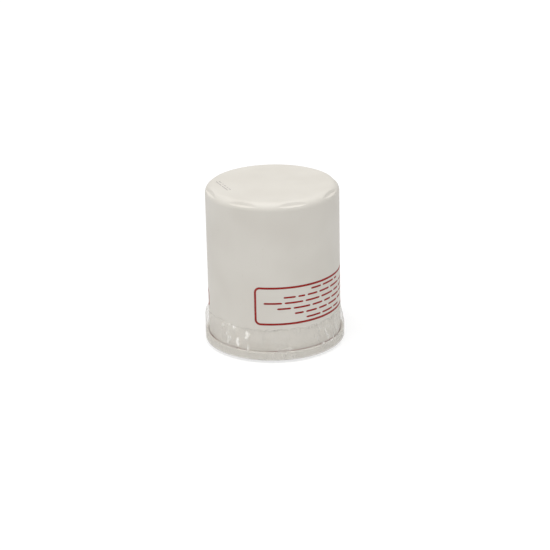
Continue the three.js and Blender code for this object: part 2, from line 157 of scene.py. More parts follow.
ELEMENT_WIRE = 1.6
ELEMENT_COIL_LOW = 19.0
ELEMENT_COIL_HIGH = 13.0
ELEMENT_TURNS = 3.5
ELEMENT_END_TURNS = 0.75
CAP_SHEET = 0.4
CAP_NECK = 11.6
CAP_NECK_HEIGHT = 4.0
ADHESIVE_INNER = 12.8
PLEATS = 40
PLEAT_INNER = 13.1
PLEAT_OUTER = 27.9
PAPER = 0.5
CLIP_SHEET = 0.35
TUBE = 12.5
TUBE_SHEET = 0.5
TUBE_HOLE = 2.2
TUBE_HOLE_ROWS = 5
TUBE_HOLE_PAIRS = 4  # each pair is one hole and the one opposite it


# ---- outlines ----

def rounded(corners, steps=6):
    """Turns each corner (x, y, radius) of a line into an arc."""
    points = []
    for index, corner in enumerate(corners):
        here = Vector(corner[:2])
        radius = corner[2] if len(corner) > 2 else 0
        if radius == 0:
            points.append(here)
            continue
        before = (Vector(corners[index - 1][:2]) - here).normalized()
        after = (Vector(corners[(index + 1) % len(corners)][:2]) - here).normalized()
        half = before.angle(after) / 2
        centre = here + (before + after).normalized() * radius / math.sin(half)
        reach = radius / math.tan(half)
        start = (here + before * reach - centre).normalized()
        end = (here + after * reach - centre).normalized()
        for step in range(steps + 1):
            points.append(centre + radius * start.slerp(end, step / steps))
    return [(p.x, p.y) for p in points]


def offset(points, distance, closed=False):
    """Moves a line sideways to its left, keeping the new sides parallel to the old ones."""
    count = len(points)

    def side(index):
        a = Vector(points[index % count])
        b = Vector(points[(index + 1) % count])
        return Vector((a.y - b.y, b.x - a.x)).normalized()

    moved = []
    for index, point in enumerate(points):
        before = side(index) if index == 0 and not closed else side(index - 1)
        after = before if index == count - 1 and not closed else side(index)
        mitre = (before + after).normalized()
        moved.append(tuple(Vector(point) + mitre * distance / mitre.dot(before)))
    return moved


def sheet_outline(centre_line, thickness):
    """Closed outline of a sheet of even thickness along an open line."""
    return offset(centre_line, thickness / 2) + offset(centre_line, -thickness / 2)[::-1]


def dense(points, longest, closed=True):
    """Adds points so that no side is longer than the given length."""
    result = []
    pairs = list(zip(points, points[1:] + points[:1])) if closed else list(zip(points, points[1:]))
    for start, end in pairs:
        steps = max(1, math.ceil(math.dist(start, end) / longest))
        for step in range(steps):
            share = step / steps
            result.append(tuple(a + (b - a) * share for a, b in zip(start, end)))
    if not closed:
        result.append(points[-1])
    return result


def clamped(share):
    return max(0.0, min(1.0, share))


def smooth_min(a, b, softness):
    """The smaller of two lengths, with the change from one to the other rounded off."""
    gap = max(-60.0, min(60.0, (a - b) / softness))
    return a - softness * math.log1p(math.exp(gap))


# ---- meshes ----

def polar(radius, angle, height):
    """Point at an angle, in radians, from the front towards +X."""
    return (radius * math.sin(angle), -radius * math.cos(angle), height)


def mesh_object(name, vertices, faces, material, sharp=35):
    """A smooth-shaded object from points in millimetres, with its faces turned outwards."""
    mesh = bpy.data.meshes.new(name)
    mesh.from_pydata([[c * MM for c in v] for v in vertices], [], faces)
    work = bmesh.new()
    work.from_mesh(mesh)
    bmesh.ops.remove_doubles(work, verts=work.verts, dist=1e-4 * MM)
    bmesh.ops.dissolve_degenerate(work, edges=work.edges, dist=1e-5 * MM)
    bmesh.ops.recalc_face_normals(work, faces=work.faces)
    work.to_mesh(mesh)
    work.free()
    mesh.shade_smooth()
    mesh.set_sharp_from_angle(angle=math.radians(sharp))
    if material:
        mesh.materials.append(material)
    return new_object(name, mesh)


def new_object(name, data):
    made = bpy.data.objects.new(name, data)
    bpy.context.scene.collection.objects.link(made)
    return made


def place(piece, slot, *replaced, body="root"):
    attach(piece, body)
    if replaced:
        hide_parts(*replaced)
    return piece


def show(name, shape, material, slot, *replaced, body="root", sharp=35):
    """Makes a piece of a (vertices, faces) shape and places it."""
    return place(mesh_object(name, *shape, material, sharp), slot, *replaced, body=body)


def skin(columns, count, closed):
    """Faces between columns of count points each; a closed skin comes back to its first column."""
    faces = []
    for column in range(columns if closed else columns - 1):
        here = column * count
        there = (column + 1) % columns * count
        for row in range(count):
            after = (row + 1) % count
            faces.append((here + row, there + row, there + after, here + after))
    return faces


def capped_skin(columns, count):
    """Faces of a solid whose first and last columns are its flat ends."""
    last = (columns - 1) * count
    return [tuple(range(count)), tuple(range(last, last + count)), *skin(columns, count, closed=False)]


def revolved(outline, steps=ROUND, shape=None):
    """Vertices and faces of a closed (radius, height, ...) outline turned about the axis.

    shape(point, angle) may move each outline point at each angle, and returns its radius and height.
    """
    vertices = []
    for column in range(steps):
        angle = 2 * math.pi * column / steps
        for point in outline:
            radius, height = shape(point, angle) if shape else point[:2]
            vertices.append(polar(radius, angle, height))
    return vertices, skin(steps, len(outline), closed=True)


def sheet_solid(left, right, levels, place_point, closed):
    """Closed solid between two lines of as many points; place_point(point, level) gives each vertex."""
    vertices = []
    for a, b in zip(left, right):
        vertices += [place_point(a, level) for level in levels]
        vertices += [place_point(b, level) for level in reversed(levels)]
    size = 2 * len(levels)
    faces = skin(len(left), size, closed)
    if not closed:
        for start in (0, (len(left) - 1) * size):
            last = start + size - 1
            faces += [(start + k, start + k + 1, last - k - 1, last - k) for k in range(len(levels) - 1)]
    return vertices, faces


def prism(outline, levels, place_point):
    """Solid of a closed convex outline; place_point(point, level) gives each vertex."""
    vertices = [place_point(point, level) for level in levels for point in outline]
    return vertices, capped_skin(len(levels), len(outline))


def upright(point, height):
    return (*point, height)


def joined(shapes):
    vertices, faces = [], []
    for more_vertices, more_faces in shapes:
        start = len(vertices)
        vertices += more_vertices
        faces += [tuple(start + i for i in face) for face in more_faces]
    return vertices, faces


def moved_to(x, y, shape):
    vertices, faces = shape
    return [(v[0] + x, v[1] + y, v[2]) for v in vertices], faces


def round_wire(line, radius, sides=14):
    """Round bar along a line of points that never runs straight up, with flat ends."""
    points = [Vector(p) for p in line]
    vertices = []
    for index, point in enumerate(points):
        along = (points[min(index + 1, len(points) - 1)] - points[max(index - 1, 0)]).normalized()
        across = along.cross(Vector((0, 0, 1))).normalized()
        upward = across.cross(along)
        for side in range(sides):
            angle = 2 * math.pi * side / sides
            vertices.append(point + radius * (math.cos(angle) * across + math.sin(angle) * upward))
    return [tuple(v) for v in vertices], capped_skin(len(points), sides)


def carve(piece, cutters, sharp=35):
    """Cuts closed shapes out of a piece."""
    cutter = mesh_object("cutter", *joined(cutters), None)
    modifier = piece.modifiers.new("cut", "BOOLEAN")
    modifier.operation = "DIFFERENCE"
    modifier.solver = "MANIFOLD"
    modifier.object = cutter
    bpy.context.view_layer.update()
    carved = bpy.data.meshes.new_from_object(piece.evaluated_get(bpy.context.evaluated_depsgraph_get()))
    piece.modifiers.clear()
    piece.data = carved
    bpy.data.objects.remove(cutter)
    carved.shade_smooth()
    carved.set_sharp_from_angle(angle=math.radians(sharp))
    return piece


# ---- materials ----

def new_material(name, roughness, metallic=0.0, **plain):
    """An empty Principled material; plain values go straight onto its sockets."""
    material = bpy.data.materials.new(name)
    material.use_nodes = True
    shader = material.node_tree.nodes["Principled BSDF"]
    shader.inputs["Roughness"].default_value = roughness
    shader.inputs["Metallic"].default_value = metallic
    for socket, value in plain.items():
        shader.inputs[socket.replace("_", " ")].default_value = value
    return material, material.node_tree, shader


def add_node(tree, kind, **values):
    node = tree.nodes.new(kind)
    for key, value in values.items():
        if key in node.inputs:
            node.inputs[key].default_value = value
        else:
            setattr(node, key, value)
    return node


def noise_value(tree, scale, detail=3.0, stretch=(1, 1, 1)):
    """Noise over the object's own coordinates, in metres; scale is in cycles a metre."""
    place_node = add_node(tree, "ShaderNodeTexCoord")
    mapping = add_node(tree, "ShaderNodeMapping")
    mapping.inputs["Scale"].default_value = stretch
    texture = add_node(tree, "ShaderNodeTexNoise", Scale=scale, Detail=detail)
    tree.links.new(place_node.outputs["Object"], mapping.inputs["Vector"])
    tree.links.new(mapping.outputs["Vector"], texture.inputs["Vector"])
    return texture.outputs["Fac"]


def ramp(tree, value, *stops):
    """Colour ramp with (position, colour) stops."""
    node = tree.nodes.new("ShaderNodeValToRGB")
    elements = node.color_ramp.elements
    while len(elements) < len(stops):
        elements.new(0.5)
    for element, (position, colour) in zip(elements, stops):
        element.position = position
        element.color = (*colour, 1)
    tree.links.new(value, node.inputs["Fac"])
    return node.outputs["Color"]


def grey(value):
    return (value, value, value)


def mix_colour(tree, share, first, second):
    """first and second are sockets or colours; share is a socket or a number."""
    node = tree.nodes.new("ShaderNodeMix")
    node.data_type = "RGBA"
    for socket, value in zip((node.inputs[0], node.inputs[6], node.inputs[7]), (share, first, second)):
        if isinstance(value, bpy.types.NodeSocket):
            tree.links.new(value, socket)
        elif isinstance(value, tuple):
            socket.default_value = (*value, 1)
        else:
            socket.default_value = value
    return node.outputs[2]


def add_bump(tree, shader, height, depth_mm, strength=1.0, after=None):
    bump = add_node(tree, "ShaderNodeBump", Strength=strength, Distance=depth_mm * MM)
    tree.links.new(height, bump.inputs["Height"])
    if after is not None:
        tree.links.new(after, bump.inputs["Normal"])
    tree.links.new(bump.outputs["Normal"], shader.inputs["Normal"])
    return bump.outputs["Normal"]


def set_colour(tree, shader, colour):
    tree.links.new(colour, shader.inputs["Base Color"])


def vary_roughness(tree, shader, texture, low, high):
    rough = ramp(tree, texture, (0.3, grey(low)), (0.7, grey(high)))
    tree.links.new(rough, shader.inputs["Roughness"])


ENAMEL_LIGHT = (0.745, 0.715, 0.655)
ENAMEL_DARK = (0.705, 0.672, 0.612)


def enamel_colour(tree):
    """Off-white paint with a faint slow change of tone and very few pale specks."""
    tone = ramp(tree, noise_value(tree, 38, 2), (0.35, ENAMEL_DARK), (0.65, ENAMEL_LIGHT))
    speck = ramp(tree, noise_value(tree, 1500, 1), (0.70, grey(0.0)), (0.78, grey(0.35)))
    return mix_colour(tree, speck, tone, (0.62, 0.58, 0.52))


def position_value(tree, axis):
    """The object's own X, Y or Z at the shaded point, in metres."""
    place_node = add_node(tree, "ShaderNodeTexCoord")
    parts = add_node(tree, "ShaderNodeSeparateXYZ")
    tree.links.new(place_node.outputs["Object"], parts.inputs["Vector"])
    return parts.outputs[axis]


def maths(tree, operation, *values):
    """One Math node; each value is a socket or a number."""
    node = add_node(tree, "ShaderNodeMath", operation=operation)
    for socket, value in zip(node.inputs, values):
        if isinstance(value, bpy.types.NodeSocket):
            tree.links.new(value, socket)
        else:
            socket.default_value = value
    return node.outputs["Value"]


def enamel():
    """Enamel, with painted crease shade: a broken reddish-brown line where the wall goes down into the
    seam.
    """
    sheen = {"Coat_Weight": 0.06, "Coat_Roughness": 0.25, "Specular_IOR_Level": 0.32}
    material, tree, shader = new_material("can_enamel", 0.5, **sheen)
    # Painted shade: the enamel turns reddish-brown in the crease just above the seam, broken up by noise.
    near_seam = between(tree, position_value(tree, "Z"), (LID_TOP + 0.55) * MM, (LID_TOP + 0.05) * MM)
    broken = ramp(tree, noise_value(tree, 70, 3), (0.40, grey(0.2)), (0.60, grey(1.0)))
    painted_crease_shade = maths(tree, "MULTIPLY", near_seam, broken)
    set_colour(tree, shader, mix_colour(tree, painted_crease_shade, enamel_colour(tree), (0.30, 0.12, 0.10)))
    vary_roughness(tree, shader, noise_value(tree, 60, 4), 0.48, 0.6)
    waves = add_bump(tree, shader, noise_value(tree, 150, 1), 0.03, 0.25)
    add_bump(tree, shader, noise_value(tree, 1100, 2), 0.008, 0.4, after=waves)
    return material


def radius_value(tree):
    """Distance from the filter's axis, in metres."""
    place_node = add_node(tree, "ShaderNodeTexCoord")
    flat = add_node(tree, "ShaderNodeVectorMath", operation="MULTIPLY")
    flat.inputs[1].default_value = (1, 1, 0)
    length = add_node(tree, "ShaderNodeVectorMath", operation="LENGTH")
    tree.links.new(place_node.outputs["Object"], flat.inputs[0])
    tree.links.new(flat.outputs["Vector"], length.inputs[0])
    return length.outputs["Value"]


def between(tree, value, low, high):
    """A value that goes from 0 at low to 1 at high; low may be the larger of the two."""
    node = add_node(tree, "ShaderNodeMapRange")
    node.inputs["From Min"].default_value = low
    node.inputs["From Max"].default_value = high
    tree.links.new(value, node.inputs["Value"])
    return node.outputs["Result"]


def sheet_steel_colour(tree):
    """Zinc-plated steel: soft spangle and darker handling marks."""
    spangle = ramp(tree, noise_value(tree, 420, 3), (0.35, (0.50, 0.51, 0.52)), (0.65, (0.62, 0.63, 0.64)))
    stain = ramp(tree, noise_value(tree, 55, 5), (0.42, grey(0.35)), (0.6, grey(0.0)))
    return mix_colour(tree, stain, spangle, (0.34, 0.33, 0.31))


def zinc_sheet(name="zinc_sheet"):
    material, tree, shader = new_material(name, 0.38, 1.0)
    set_colour(tree, shader, sheet_steel_colour(tree))
    vary_roughness(tree, shader, noise_value(tree, 210, 4), 0.28, 0.48)
    add_bump(tree, shader, noise_value(tree, 700, 3), 0.01, 0.4)
    return material


def lid_finish():
    """Zinc plate inside, with the can's enamel over the rolled seam and a worn edge between them."""
    material, tree, shader = new_material("lid_zinc_and_enamel", 0.42)
    ragged = maths(tree, "MULTIPLY_ADD", noise_value(tree, 260, 4), 0.9 * MM, radius_value(tree))
    painted = between(tree, ragged, (WALL + 0.2) * MM, (WALL + 0.8) * MM)
    set_colour(tree, shader, mix_colour(tree, painted, sheet_steel_colour(tree), enamel_colour(tree)))
    tree.links.new(maths(tree, "SUBTRACT", 1.0, painted), shader.inputs["Metallic"])
    add_bump(tree, shader, noise_value(tree, 500, 3), 0.012, 0.4)
    return material


def printed_ink():
    material, tree, shader = new_material("printed_ink", 0.55, Specular_IOR_Level=0.25)
    worn = ramp(tree, noise_value(tree, 1800, 3), (0.34, (0.38, 0.024, 0.019)), (0.6, (0.27, 0.014, 0.011)))
    set_colour(tree, shader, worn)
    add_bump(tree, shader, noise_value(tree, 2600, 2), 0.004, 0.3)
    return material


def code_ink():
    material, tree, shader = new_material("code_grey_ink", 0.5)
    faded = ramp(tree, noise_value(tree, 900, 2), (0.35, (0.30, 0.28, 0.27)), (0.65, (0.46, 0.43, 0.41)))
    set_colour(tree, shader, faded)
    add_bump(tree, shader, noise_value(tree, 2600, 2), 0.004, 0.3)
    return material


def rubber(name, colour, bloom_colour):
    """Moulded rubber with a fine matt skin and a faint dusty bloom."""
    material, tree, shader = new_material(name, 0.6)
    bloom = ramp(tree, noise_value(tree, 130, 5), (0.45, colour), (0.75, bloom_colour))
    set_colour(tree, shader, bloom)
    vary_roughness(tree, shader, noise_value(tree, 320, 3), 0.48, 0.66)
    add_bump(tree, shader, noise_value(tree, 1600, 3), 0.02, 0.5)
    return material


def turned_rings(tree, rings_per_metre):
    """Fine rings about the axis, as a wave between -1 and 1."""
    return maths(tree, "SINE", maths(tree, "MULTIPLY", radius_value(tree), 2 * math.pi * rings_per_metre))


def plate_steel():
    """Oiled pressed steel with faint rolling streaks and turning marks."""
    material, tree, shader = new_material("plate_steel", 0.34, 1.0)
    streaks = noise_value(tree, 140, 5, (1, 9, 1))
    tone = ramp(tree, streaks, (0.3, (0.36, 0.36, 0.36)), (0.7, (0.50, 0.50, 0.50)))
    film_of_oil = ramp(tree, noise_value(tree, 60, 3), (0.48, grey(0.0)), (0.62, grey(0.45)))
    set_colour(tree, shader, mix_colour(tree, film_of_oil, tone, (0.33, 0.30, 0.25)))
    vary_roughness(tree, shader, noise_value(tree, 240, 4), 0.26, 0.44)
    rings = add_bump(tree, shader, turned_rings(tree, 3300), 0.004, 0.25)
    add_bump(tree, shader, noise_value(tree, 900, 3), 0.008, 0.35, after=rings)
    return material


def spring_steel():
    """Drawn wire with a dark oxide skin, rubbed bright in places."""
    material, tree, shader = new_material("spring_steel", 0.36, 1.0)
    rubbed = ramp(tree, noise_value(tree, 380, 5), (0.42, (0.16, 0.155, 0.15)), (0.68, (0.42, 0.42, 0.42)))
    set_colour(tree, shader, rubbed)
    vary_roughness(tree, shader, noise_value(tree, 520, 3), 0.28, 0.46)
    add_bump(tree, shader, noise_value(tree, 2200, 2), 0.01, 0.4)
    return material


def filter_paper():
    """Resin-treated paper: fibre flecks, slow change of tone and a soft felt."""
    material, tree, shader = new_material("filter_paper", 0.9, Sheen_Weight=0.15)
    tone = ramp(tree, noise_value(tree, 45, 4), (0.3, (0.60, 0.42, 0.17)), (0.7, (0.70, 0.52, 0.24)))
    fibres = noise_value(tree, 1400, 4, (1, 1, 0.25))
    fleck = ramp(tree, fibres, (0.52, grey(0.0)), (0.66, grey(0.5)))
    set_colour(tree, shader, mix_colour(tree, fleck, tone, (0.44, 0.29, 0.11)))
    add_bump(tree, shader, fibres, 0.05, 0.6)
    return material


def compound():
    """Cured grey sealing compound, slightly lumpy, with tiny bubbles."""
    material, tree, shader = new_material("sealing_compound", 0.55)
    tone = ramp(tree, noise_value(tree, 90, 4), (0.3, (0.22, 0.21, 0.19)), (0.7, (0.30, 0.28, 0.25)))
    bubble = ramp(tree, noise_value(tree, 1300, 1), (0.66, grey(0.0)), (0.74, grey(0.6)))
    set_colour(tree, shader, mix_colour(tree, bubble, tone, (0.15, 0.14, 0.12)))
    lumps = add_bump(tree, shader, noise_value(tree, 240, 2), 0.15, 0.4)
    add_bump(tree, shader, noise_value(tree, 1300, 2), 0.03, 0.5, after=lumps)
    return material


FILM_CREASE_GLINTS_FROM = -25.0  # X of the stretch that has most of the sharp creases and their painted glints
FILM_CREASE_GLINTS_TO = -11.0
FILM_CREASE_GLINTS_FADE = 3.0
FILM_PAINTED_GLINT = 0.42  # painted glint: strength of the white light given off on a sharp crease
FILM_SEEN = (0.12, 0.97)  # how much is seen from the front and from the side
FILM_GATHERED = 0.15  # how much more is seen where the film is gathered on the rim
FILM_FOLDED = 0.1  # where it is folded
FILM_CREASE_GLINT_SHARE = 0.3  # where it has a sharp crease, as a painted glint


def above_rim(tree):
    """0 on the lid's rim and 1 above it."""
    return between(tree, position_value(tree, "Z"), (LID_TOP - 0.4) * MM, (LID_TOP + 0.6) * MM)


def film_crease_glints(tree):
    """1 where glints are painted on the film's sharp creases: most of them at the left, a few in patches,
    none on the rim.
    """
    patches = ramp(tree, noise_value(tree, 55, 1), (0.60, grey(0)), (0.68, grey(1)))
    streaks = ramp(tree, noise_value(tree, 560, 2, (1, 1, 0.4)), (0.585, grey(0)), (0.635, grey(1)))
    across = position_value(tree, "X")
    from_left = between(tree, across, FILM_CREASE_GLINTS_FROM * MM, (FILM_CREASE_GLINTS_FROM + FILM_CREASE_GLINTS_FADE) * MM)
    to_right = between(tree, across, FILM_CREASE_GLINTS_TO * MM, (FILM_CREASE_GLINTS_TO - FILM_CREASE_GLINTS_FADE) * MM)
    places = maths(tree, "MAXIMUM", patches, maths(tree, "MULTIPLY", from_left, to_right))
    return maths(tree, "MULTIPLY", above_rim(tree), maths(tree, "MULTIPLY", places, streaks))


def film_density(tree, crease_glints):
    """How much of the film is seen: little from the front, more at its edges, folds and rim, and more on
    its sharp creases as a painted glint.
    """
    facing = add_node(tree, "ShaderNodeLayerWeight", Blend=0.32).outputs["Facing"]
    share = add_node(tree, "ShaderNodeMapRange")
    share.inputs["From Min"].default_value = 0.6
    share.inputs["To Min"].default_value, share.inputs["To Max"].default_value = FILM_SEEN
    tree.links.new(facing, share.inputs["Value"])
    gathered = between(tree, position_value(tree, "Z"), (LID_TOP + 3.0) * MM, (LID_TOP - 0.5) * MM)
    folds = ramp(tree, noise_value(tree, 110, 2, (1, 1, 0.3)), (0.48, grey(0)), (0.62, grey(1)))
    loose_folds = maths(tree, "MULTIPLY", above_rim(tree), folds)
    density = share.outputs["Result"]
    for value, weight in ((gathered, FILM_GATHERED), (loose_folds, FILM_FOLDED), (crease_glints, FILM_CREASE_GLINT_SHARE)):
        density = maths(tree, "MULTIPLY_ADD", value, weight, density)
    return density


def mixed_shaders(tree, first, second, **values):
    mix = add_node(tree, "ShaderNodeMixShader", **values)
    tree.links.new(first, mix.inputs[1])
    tree.links.new(second, mix.inputs[2])
    return mix


def clear_film():
    """Thin clear film, slightly milky, with painted glints: its sharp creases are whiter and give off a
    little white light.
    """
    # White emission colour for the painted glints on the creases.
    plain = {"IOR": 1.5, "Emission_Color": (1, 1, 1, 1)}
    material, tree, shader = new_material("clear_shrink_film", 0.07, **plain)
    milky = noise_value(tree, 300, 3, (1, 1, 0.3))
    haze = ramp(tree, milky, (0.4, (0.91, 0.895, 0.865)), (0.7, (0.96, 0.95, 0.925)))
    crease_glints = film_crease_glints(tree)
    # Painted glint: the film is whiter on its sharp creases.
    colour = mix_colour(tree, crease_glints, haze, (0.95, 0.94, 0.92))
    set_colour(tree, shader, colour)
    # Painted glint: the sharp creases give off white light.
    tree.links.new(maths(tree, "MULTIPLY", crease_glints, FILM_PAINTED_GLINT), shader.inputs["Emission Strength"])
    add_bump(tree, shader, noise_value(tree, 900, 2, (1, 1, 0.25)), 0.02, 0.35)
    glow = add_node(tree, "ShaderNodeBsdfTranslucent")
    tree.links.new(colour, glow.inputs["Color"])
    body = mixed_shaders(tree, shader.outputs["BSDF"], glow.outputs["BSDF"], Fac=0.45)
    clear = add_node(tree, "ShaderNodeBsdfTransparent")
    film = mixed_shaders(tree, clear.outputs["BSDF"], body.outputs["Shader"])
    tree.links.new(film_density(tree, crease_glints), film.inputs["Fac"])
    tree.links.new(film.outputs["Shader"], tree.nodes["Material Output"].inputs["Surface"])
    return material


# ---- the can ----

def dome_line(radius, shoulder, top, steps=SHOULDER_STEPS):
    """From the wall's top round the shoulder and over the crown to the axis."""
    flat_radius = radius - shoulder
    shoulder_top = top - CROWN
    line = []
    for step in range(steps + 1):
        angle = math.radians(90 * step / steps)
        out = flat_radius + shoulder * math.cos(angle)
        line.append((out, shoulder_top - shoulder * (1 - math.sin(angle))))
    for step in range(1, CROWN_STEPS + 1):
        share = 1 - step / CROWN_STEPS
        line.append((flat_radius * share, shoulder_top + CROWN * (1 - share * share)))
    return line


def flat_reach(height, depth):
    """Distance from the axis to a wrench flat's middle, or to the ledge under it."""
    ledge_lean = math.atan(FLAT_DEPTH / LEDGE_HEIGHT)
    tilt = math.radians(FLAT_TILT)
    ledge = WALL - (height - LEDGE_BOTTOM) * math.tan(ledge_lean) - depth / math.cos(ledge_lean)
    above = height - LEDGE_BOTTOM - LEDGE_HEIGHT
    flat = WALL - FLAT_DEPTH - above * math.tan(tilt) - depth / math.cos(tilt)
    return -smooth_min(-ledge, -flat, LEDGE_EDGE)


def with_flats(point, angle):
    """Presses the wrench flats into the shoulder; point is (radius, height, depth under the outside)."""
    radius, height, depth = point
    sector = 2 * math.pi / FLATS
    aside = (angle - math.radians(FLATS_TURN) + sector / 2) % sector - sector / 2
    return smooth_min(radius, flat_reach(height, depth) / math.cos(aside), FLAT_EDGE), height


def canister():
    hook = rounded([
        (WALL - SHEET / 2, CAN_BOTTOM + 4),
        (WALL - SHEET / 2, CAN_BOTTOM + SHEET / 2, 0.5),
        (CAN_HOOK_INNER + SHEET / 2, CAN_BOTTOM + SHEET / 2, 0.5),
        (CAN_HOOK_INNER + SHEET / 2, CAN_HOOK_TOP),
    ])
    hook_outside = offset(hook, SHEET / 2)[::-1]
    hook_inside = offset(hook, -SHEET / 2)
    dome_outside = dome_line(WALL, SHOULDER, TOP)
    dome_inside = dome_line(WALL - SHEET, SHOULDER - SHEET, TOP - SHEET, steps=24)[::-1]
    outside = dense(hook_outside + dome_outside, 6, closed=False)
    inside = dense(dome_inside + hook_inside, 6, closed=False)
    outline = [(r, z, 0) for r, z in outside] + [(r, z, SHEET) for r, z in inside]
    shape = revolved(outline, steps=ROUND_CAN, shape=with_flats)
    return show("can_body", shape, enamel(), "canister_enamel", "canister")


# ---- lid and its rolled seam ----

RIM_WAVER = 0.05


def rolled_waver(point, angle):
    """The seaming rollers leave the rim very slightly uneven."""
    radius, height = point
    around = Vector((math.cos(angle), math.sin(angle), 0)) * 2.2
    waver = noise.noise(around + Vector((0, 0, height * 0.12)))
    outer = clamped((radius - LID_PANEL_INNER + 0.6) / 0.8)
    return radius + RIM_WAVER * (waver - 0.4) * outer, height + RIM_WAVER * waver * outer


def seaming_lid():
    half = LID_SHEET / 2
    level = GROOVE_TOP - half
    panel = LID_PANEL_INNER + half
    bend = 0.5
    centre_line = rounded([
        (LID_INNER, level),
        (RIDGE - RIDGE_WIDTH / 2, level, 0.3),
        (RIDGE - RIDGE_WIDTH / 2, RIDGE_BOTTOM, 0.45),
        (RIDGE + RIDGE_WIDTH / 2, RIDGE_BOTTOM, 0.45),
        (RIDGE + RIDGE_WIDTH / 2, level, 0.3),
        (WALL - SHEET - LAYER - half, level, 0.3),
        (WALL - SHEET - LAYER - half, LID_BOTTOM + half, bend),
        (panel, LID_BOTTOM + half, bend),
        (panel, LID_TOP - half, bend),
        (LID_HOOK_INNER + half, LID_TOP - half, bend),
        (LID_HOOK_INNER + half, CAN_BOTTOM + SHEET + 2 * LAYER),
    ])
    outline = dense(sheet_outline(centre_line, LID_SHEET), 1.5)
    shape = revolved(outline, shape=rolled_waver)
    return show("lid_rolled", shape, lid_finish(), "zinc_sheet", "seaming_lid")


def seam_compound(material):
    """The sealing compound keeps its CAD shape and takes a finished material."""
    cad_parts["seam_compound"].data.materials.clear()
    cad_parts["seam_compound"].data.materials.append(material)


def ring_outline(node, inner, low_bend, high_bend):
    """Outline of a plain ring with rounded edges, as big as its CAD node's box."""
    low, high = box_mm(node)
    return rounded([
        (inner, low[2], low_bend), (high[0], low[2], low_bend),
        (high[0], high[2], high_bend), (inner, high[2], high_bend),
    ])


def sealing_gasket():
    outline = ring_outline("sealing_gasket", GASKET_INNER, 0.7, 0.3)
    material = rubber("gasket_rubber", (0.018, 0.018, 0.019), (0.05, 0.05, 0.05))
    return show("gasket_ring", revolved(dense(outline, 1.2)), material, "gasket_rubber", "sealing_gasket")


# ---- tapping plate ----

def threaded(point, angle):
    """Presses a right-handed internal thread, flared at both ends, into the points marked as bore."""
    radius, height, in_bore = point
    if not in_bore:
        return radius, height
    phase = ((height - PLATE_BOTTOM) / THREAD_PITCH - angle / (2 * math.pi)) % 1
    flank = (1 - THREAD_CREST - THREAD_ROOT) / 2
    depth = clamped(min(phase - THREAD_CREST, 1 - phase) / flank)
    thread = THREAD_MINOR + (THREAD_MAJOR - THREAD_MINOR) * depth
    flare = THREAD_MOUTH - min(height - PLATE_BOTTOM, HUB_TOP - height)
    return max(thread, flare), height


def inlet_cutter(index, bottom, top):
    """Cutter for one inlet hole, with a rounded edge at each face."""
    mouth = INLET + INLET_EDGE
    turns = [math.radians(15 * step) for step in range(7)]
    bend = [(mouth - INLET_EDGE * math.sin(t), INLET_EDGE * (1 - math.cos(t))) for t in turns]
    profile = [(0, bottom - 1), (mouth, bottom - 1)]
    profile += [(radius, bottom + rise) for radius, rise in bend]
    profile += [(radius, top - rise) for radius, rise in reversed(bend)]
    profile += [(mouth, top + 1), (0, top + 1)]
    x, y, _ = polar(INLET_CIRCLE, 2 * math.pi * index / INLETS, 0)
    return moved_to(x, y, revolved(profile, steps=40))


def tapping_plate():
    radius = node_radius("tapping_plate")
    plate_top = PLATE_BOTTOM + PLATE_SHEET
    body = rounded([
        (THREAD_MOUTH, PLATE_BOTTOM), (radius, PLATE_BOTTOM, 0.4), (radius, plate_top, 0.4),
        (HUB, plate_top, 0.7), (HUB, HUB_TOP, 0.5), (THREAD_MOUTH, HUB_TOP),
    ])
    hub_height = HUB_TOP - PLATE_BOTTOM
    rows = round(hub_height / THREAD_PITCH * THREAD_ROWS)
    bore = [(THREAD_MOUTH, HUB_TOP - hub_height * row / rows, True) for row in range(1, rows)]
    outline = [(*point, False) for point in dense(body, 4, closed=False)] + bore
    shape = revolved(outline, steps=ROUND_INSIDE, shape=threaded)
    piece = mesh_object("threaded_plate", *shape, plate_steel())
    carve(piece, [inlet_cutter(index, PLATE_BOTTOM, plate_top) for index in range(INLETS)])
    return place(piece, "plate_steel", "tapping_plate")


# ---- valves ----


def anti_drain_valve():
    low, high = box_mm("anti_drain_valve")
    seat, top, lip = low[2], high[2], high[0]
    outline = rounded([
        (VALVE_BORE + 0.4, seat, 0.2), (VALVE_COLLAR - VALVE_WAIST, seat, 0.2),
        (VALVE_COLLAR - VALVE_WAIST, top - 2 * VALVE_DISC, 0.8), (lip - VALVE_LIP, seat, 0.3),
        (lip, seat, 0.25), (lip, seat + VALVE_LIP_EDGE, 0.3),
        (VALVE_COLLAR + VALVE_WAIST, top - VALVE_DISC / 2, 0.8), (VALVE_COLLAR, top, 0.2),
        (VALVE_BORE, top, 0.2), (VALVE_BORE, seat + 0.4, 0.2),
    ])
    material = rubber("valve_rubber", (0.30, 0.055, 0.035), (0.36, 0.12, 0.09))
    shape = revolved(dense(outline, 1.5), steps=ROUND_INSIDE)
    piece = show("anti_drain_membrane", shape, material, "valve_rubber", "anti_drain_valve")
    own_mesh(piece)
    return piece


def relief_plunger():
    low, high = box_mm("relief_plunger")
    disc = high[0]
    underside = high[2] - RELIEF_DISC_SHEET
    outline = rounded([
        (0, low[2]), (RELIEF_STEM, low[2], 0.6), (RELIEF_STEM, underside, 0.5),
        (disc, underside, 0.2), (disc, high[2], 0.2), (0, high[2]),
    ])
    shape = revolved(dense(outline, 2, closed=False), steps=ROUND_SMALL)
    finish = plate_steel()
    return show("relief_disc_and_stem", shape, finish, "plate_steel", "relief_plunger", body="relief_valve")


def relief_seal():
    low, high = box_mm("relief_seal")
    outline = rounded([(0, low[2]), (high[0], low[2], 0.3), (high[0], high[2], 0.3), (0, high[2])])
    material = rubber("relief_seal_rubber", (0.02, 0.02, 0.02), (0.05, 0.05, 0.05))
    shape = revolved(dense(outline, 2, closed=False), steps=ROUND_SMALL)
    return show("relief_seal_disc", shape, material, "gasket_rubber", "relief_seal", body="relief_valve")


